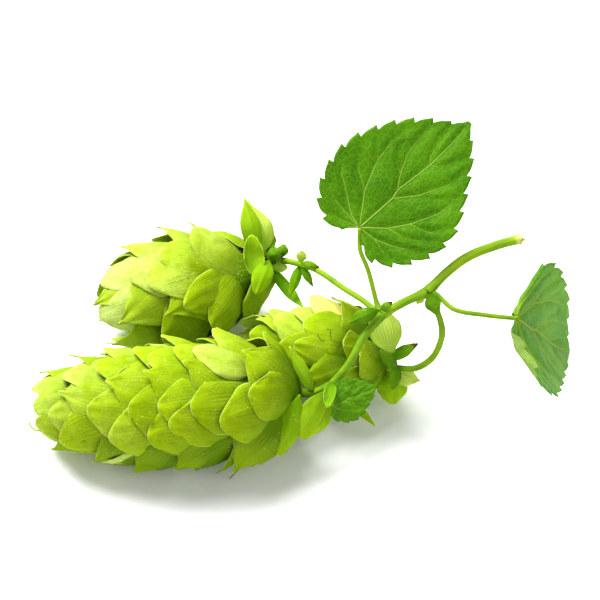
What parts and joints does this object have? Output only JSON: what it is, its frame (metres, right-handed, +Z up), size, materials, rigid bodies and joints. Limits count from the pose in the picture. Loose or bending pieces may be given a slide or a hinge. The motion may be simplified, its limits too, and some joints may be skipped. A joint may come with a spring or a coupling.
{
  "type": "hop bine sprig",
  "caption": "Picked sprig of a hop bine with papery green cones, toothed leaves and small bracts at its nodes, lying on its cones.",
  "frame": {"origin": "on the surface that the sprig lies on, under the middle of its box", "axes": "+Z up from the surface; +X from the cones' tips towards the cut end of the stem; +Y from the front cone towards the upper cone behind it"},
  "size_m": [0.1069, 0.0575, 0.0527],
  "materials": {
    "stem": "satin, finely haired green skin",
    "leaf": "satin, veined",
    "leaf_grey": "satin, with a cool sheen",
    "cone_bract": "dry and papery, finely veined",
    "bract": "satin, thin",
    "bract_pale": "satin, thin, streaked",
    "bract_dark": "satin, thin"
  },
  "bodies": {
    "root": {"stem_upper": "stem", "stem_middle": "stem", "stem_lower": "stem", "peduncle_upper_cone": "stem", "peduncle_middle_cone": "stem", "peduncle_front_cone": "stem", "petiole_large_leaf": "stem", "petiole_right_leaf": "stem", "petiole_small_leaf": "stem", "cone_front": "cone_bract", "cone_upper": "cone_bract", "cone_middle": "cone_bract", "blade_large_leaf": "leaf", "blade_right_leaf": "leaf_grey", "blade_small_leaf": "leaf", "stipule_a_front": "bract_dark", "stipule_a_back": "bract_pale", "stipule_b_left": "bract_dark", "stipule_b_right": "bract", "stipule_c_front": "bract", "stipule_c_back": "bract_dark", "peduncle_bract_pale": "bract_pale", "peduncle_bract_brown_tip": "bract_dark", "peduncle_bract_hanging": "bract", "peduncle_bract_pointed": "bract", "upper_bract_tall_pale": "bract_pale", "upper_bract_tall_green": "bract", "upper_bract_triangular": "bract", "upper_bud_dark": "bract_dark", "upper_bud_round": "bract_dark", "upper_bract_curled": "bract", "upper_bract_arched": "bract", "upper_bract_small": "bract_pale", "upper_bract_hanging": "bract_dark", "middle_bract_pale": "bract_pale", "middle_bract_brown_tip": "bract", "middle_bract_pointed": "bract_pale", "middle_bract_lower": "bract_pale", "middle_stipule_upper": "bract_dark", "middle_stipule_lower": "bract_dark", "front_bract_vertical": "bract", "front_bract_hanging": "bract", "front_bract_upright": "bract"}
  },
  "joints": []
}
